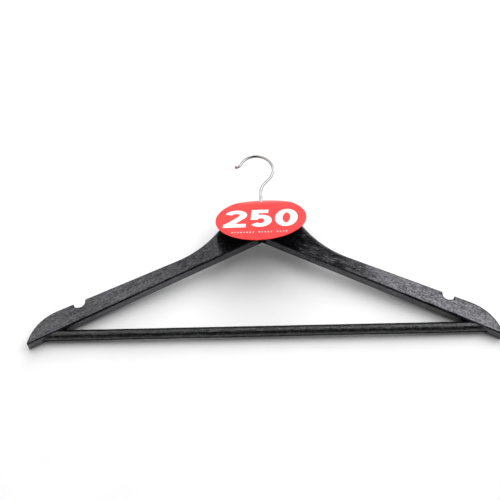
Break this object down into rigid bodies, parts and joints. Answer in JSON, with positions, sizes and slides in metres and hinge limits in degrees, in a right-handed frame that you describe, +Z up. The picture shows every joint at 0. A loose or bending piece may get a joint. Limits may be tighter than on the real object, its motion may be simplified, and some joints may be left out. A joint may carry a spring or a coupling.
{
  "type": "clothes hanger",
  "caption": "Wooden clothes hanger with strap notches, a fixed round trouser bar, a swivelling wire hook and a round price ticket on the hook's shank.",
  "frame": {"origin": "on the hook's turning axis, at the inside of the hook's crown where a rail bears", "axes": "+X to the hanger's right seen from the ticket side, +Y to the back, +Z up along the hook's shank"},
  "size_m": [0.4432, 0.0505, 0.2156],
  "materials": {
    "painted_wood": "black semi-gloss lacquer over open grain",
    "bar_wood": "black semi-gloss lacquer over a rough dowel",
    "brad_steel": "plain bright steel",
    "hook_wire": "nickel-plated wire",
    "ticket_red": null
  },
  "bodies": {
    "yoke": {"left_arm": "painted_wood", "right_arm": "painted_wood", "trouser_bar": "bar_wood", "bar_brads": "brad_steel", "hook_washer": "brad_steel"},
    "hook": {"swivel_hook": "hook_wire"},
    "ticket": {"price_ticket": "ticket_red"}
  },
  "joints": [
    {"name": "hook_swivel", "type": "hinge", "parent": "yoke", "child": "hook", "pos_m": [0, 0, -0.07], "axis": [0, 0, 1], "continuous": true},
    {"name": "ticket_turn", "type": "hinge", "parent": "yoke", "child": "ticket", "pos_m": [0, 0, -0.05475], "axis": [0, 0, 1], "range_deg": [-5, 11]}
  ]
}
